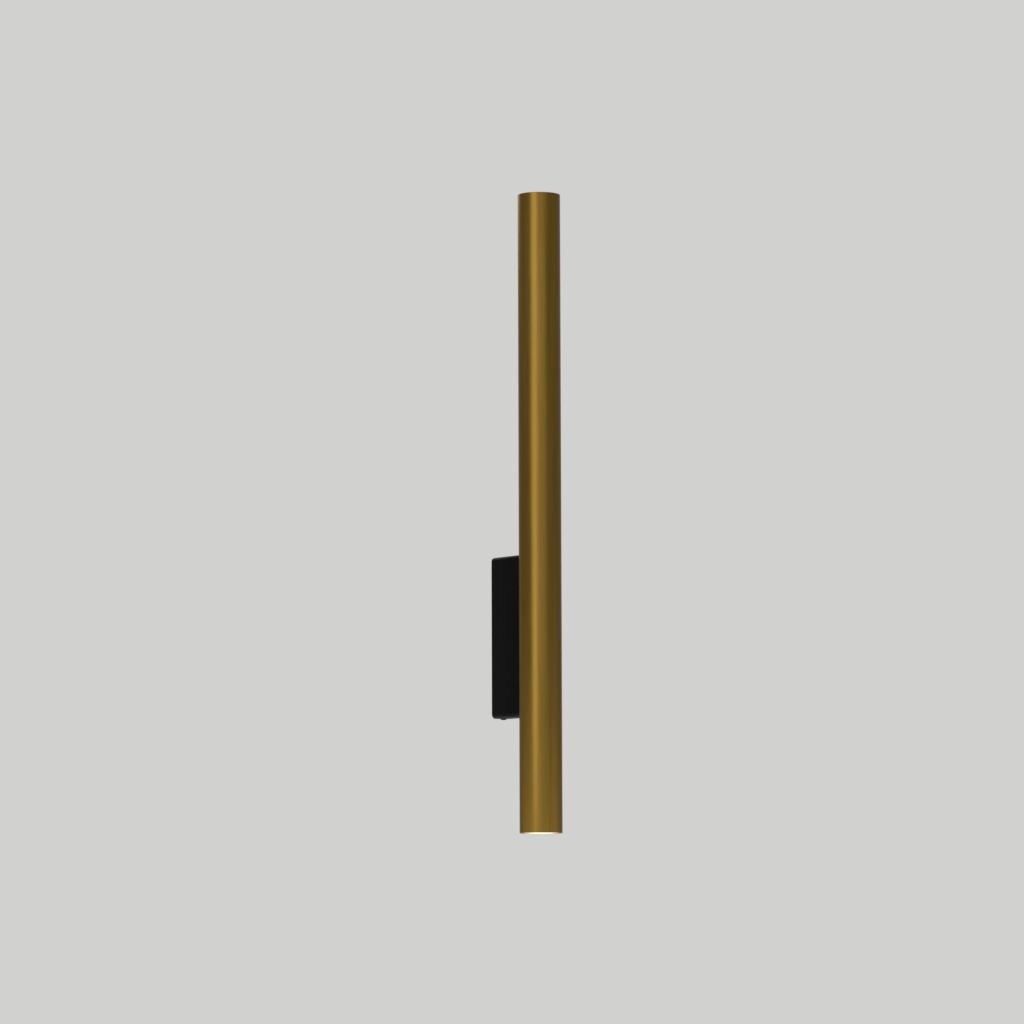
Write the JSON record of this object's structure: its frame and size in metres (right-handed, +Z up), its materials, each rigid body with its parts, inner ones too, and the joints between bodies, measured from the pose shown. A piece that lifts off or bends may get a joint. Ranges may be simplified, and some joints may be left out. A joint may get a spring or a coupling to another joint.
{
  "type": "tube wall light",
  "caption": "Upright satin brass tube held off the wall by a narrow black box, with a twist-lock lamp that shines out of each end.",
  "frame": {"origin": "on the wall plane, behind the middle of the wall box", "axes": "+X to the right as seen from the room, +Y into the wall, +Z up along the tube"},
  "size_m": [0.04, 0.0799, 0.6],
  "materials": {
    "satin_brass": "satin, brushed along the tube",
    "black_metal": "satin powder coat",
    "steel": "zinc plated",
    "black_screw": "blackened",
    "plain_brass": "bright",
    "aluminium": "as turned",
    "black_rubber": "matt",
    "black_plastic": "matt",
    "white_nylon": "matt",
    "lead_sleeve": "silicone, matt",
    "socket_ceramic": "unglazed",
    "lamp_housing": "satin",
    "nickel": "nickel plated",
    "circuit_board": "white lacquer",
    "light_source": "phosphor",
    "frosted_lens": "frosted"
  },
  "bodies": {
    "fixture": {"tube": "satin_brass", "wall_box": "black_metal", "wall_bracket": "steel", "cover_screws": "black_screw", "cable_grommet": "black_rubber", "terminal_block": "white_nylon", "terminal_inserts": "plain_brass", "terminal_screws": "steel", "terminal_fixing_screw": "steel", "earth_washer": "plain_brass", "earth_screw": "plain_brass", "lead_bush": "black_plastic", "tube_screws": "steel", "nut_bar": "steel", "upper_leads": "lead_sleeve", "lower_leads": "lead_sleeve", "carrier_screws": "black_screw", "socket_screws": "steel", "upper_socket_carrier": "aluminium", "upper_socket_back": "black_plastic", "upper_socket_body": "socket_ceramic", "upper_socket_contacts": "plain_brass", "upper_centring_ring": "black_plastic", "lower_socket_carrier": "aluminium", "lower_socket_back": "black_plastic", "lower_socket_body": "socket_ceramic", "lower_socket_contacts": "plain_brass", "lower_centring_ring": "black_plastic"},
    "upper_lamp": {"upper_lamp_shell": "lamp_housing", "upper_lamp_pins": "nickel", "upper_led_board": "circuit_board", "upper_led_chips": "light_source", "upper_lamp_lens": "frosted_lens"},
    "lower_lamp": {"lower_lamp_shell": "lamp_housing", "lower_lamp_pins": "nickel", "lower_led_board": "circuit_board", "lower_led_chips": "light_source", "lower_lamp_lens": "frosted_lens"}
  },
  "joints": [
    {"name": "upper_lamp_twist", "type": "hinge", "parent": "fixture", "child": "upper_lamp", "pos_m": [0, -0.06, 0.415], "axis": [0, 0, 1], "range_deg": [0, 35]},
    {"name": "lower_lamp_twist", "type": "hinge", "parent": "fixture", "child": "lower_lamp", "pos_m": [0, -0.06, -0.185], "axis": [0, 0, -1], "range_deg": [0, 35]}
  ]
}
